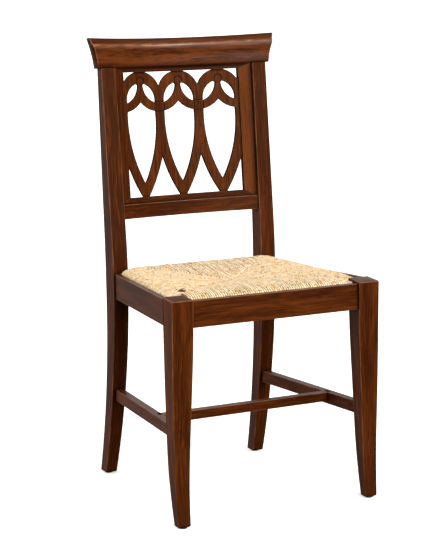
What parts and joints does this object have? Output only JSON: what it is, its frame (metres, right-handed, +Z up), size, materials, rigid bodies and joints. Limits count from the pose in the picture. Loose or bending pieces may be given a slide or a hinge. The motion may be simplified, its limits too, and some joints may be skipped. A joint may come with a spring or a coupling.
{
  "type": "rush seat dining chair",
  "caption": "Dark stained wooden dining chair with a loose woven rush seat, sabre legs, stretchers and a bowed, pierced fretwork back.",
  "frame": {"origin": "on the floor, in the middle of the chair's plan", "axes": "+Z up, the front of the seat faces -Y, +X to the right of someone who looks at the front"},
  "size_m": [0.4746, 0.4776, 0.9638],
  "materials": {
    "stained_wood": "dark walnut stain, satin",
    "plain_wood": "bare hardwood, out of sight",
    "rush": "woven twisted rush cord, matt",
    "glide_plastic": "dark brown moulded",
    "screw_steel": "zinc plated"
  },
  "bodies": {
    "chair_frame": {"back_dowels": "plain_wood", "corner_block_front_left": "plain_wood", "corner_block_front_right": "plain_wood", "corner_block_rear_left": "plain_wood", "corner_block_rear_right": "plain_wood", "corner_screws": "screw_steel", "crest_rail": "stained_wood", "fret_frame_bottom": "stained_wood", "fret_frame_left": "stained_wood", "fret_frame_right": "stained_wood", "fret_frame_top": "stained_wood", "fretwork_panel": "stained_wood", "front_leg_left": "stained_wood", "front_leg_right": "stained_wood", "glide_front_left": "glide_plastic", "glide_front_right": "glide_plastic", "glide_rear_left": "glide_plastic", "glide_rear_right": "glide_plastic", "lower_back_rail": "stained_wood", "rear_post_left": "stained_wood", "rear_post_right": "stained_wood", "seat_cleat_rear": "plain_wood", "seat_rail_front": "stained_wood", "seat_rail_left": "stained_wood", "seat_rail_rear": "stained_wood", "seat_rail_right": "stained_wood", "stretcher_cross": "stained_wood", "stretcher_left": "stained_wood", "stretcher_right": "stained_wood"},
    "seat": {"rush_weave": "rush", "seat_bar_front": "plain_wood", "seat_bar_left": "plain_wood", "seat_bar_rear": "plain_wood", "seat_bar_right": "plain_wood"}
  },
  "joints": [
    {"name": "seat_lift", "type": "slide", "parent": "chair_frame", "child": "seat", "axis": [0, 0, 1], "range_m": [0, 0.08]}
  ]
}
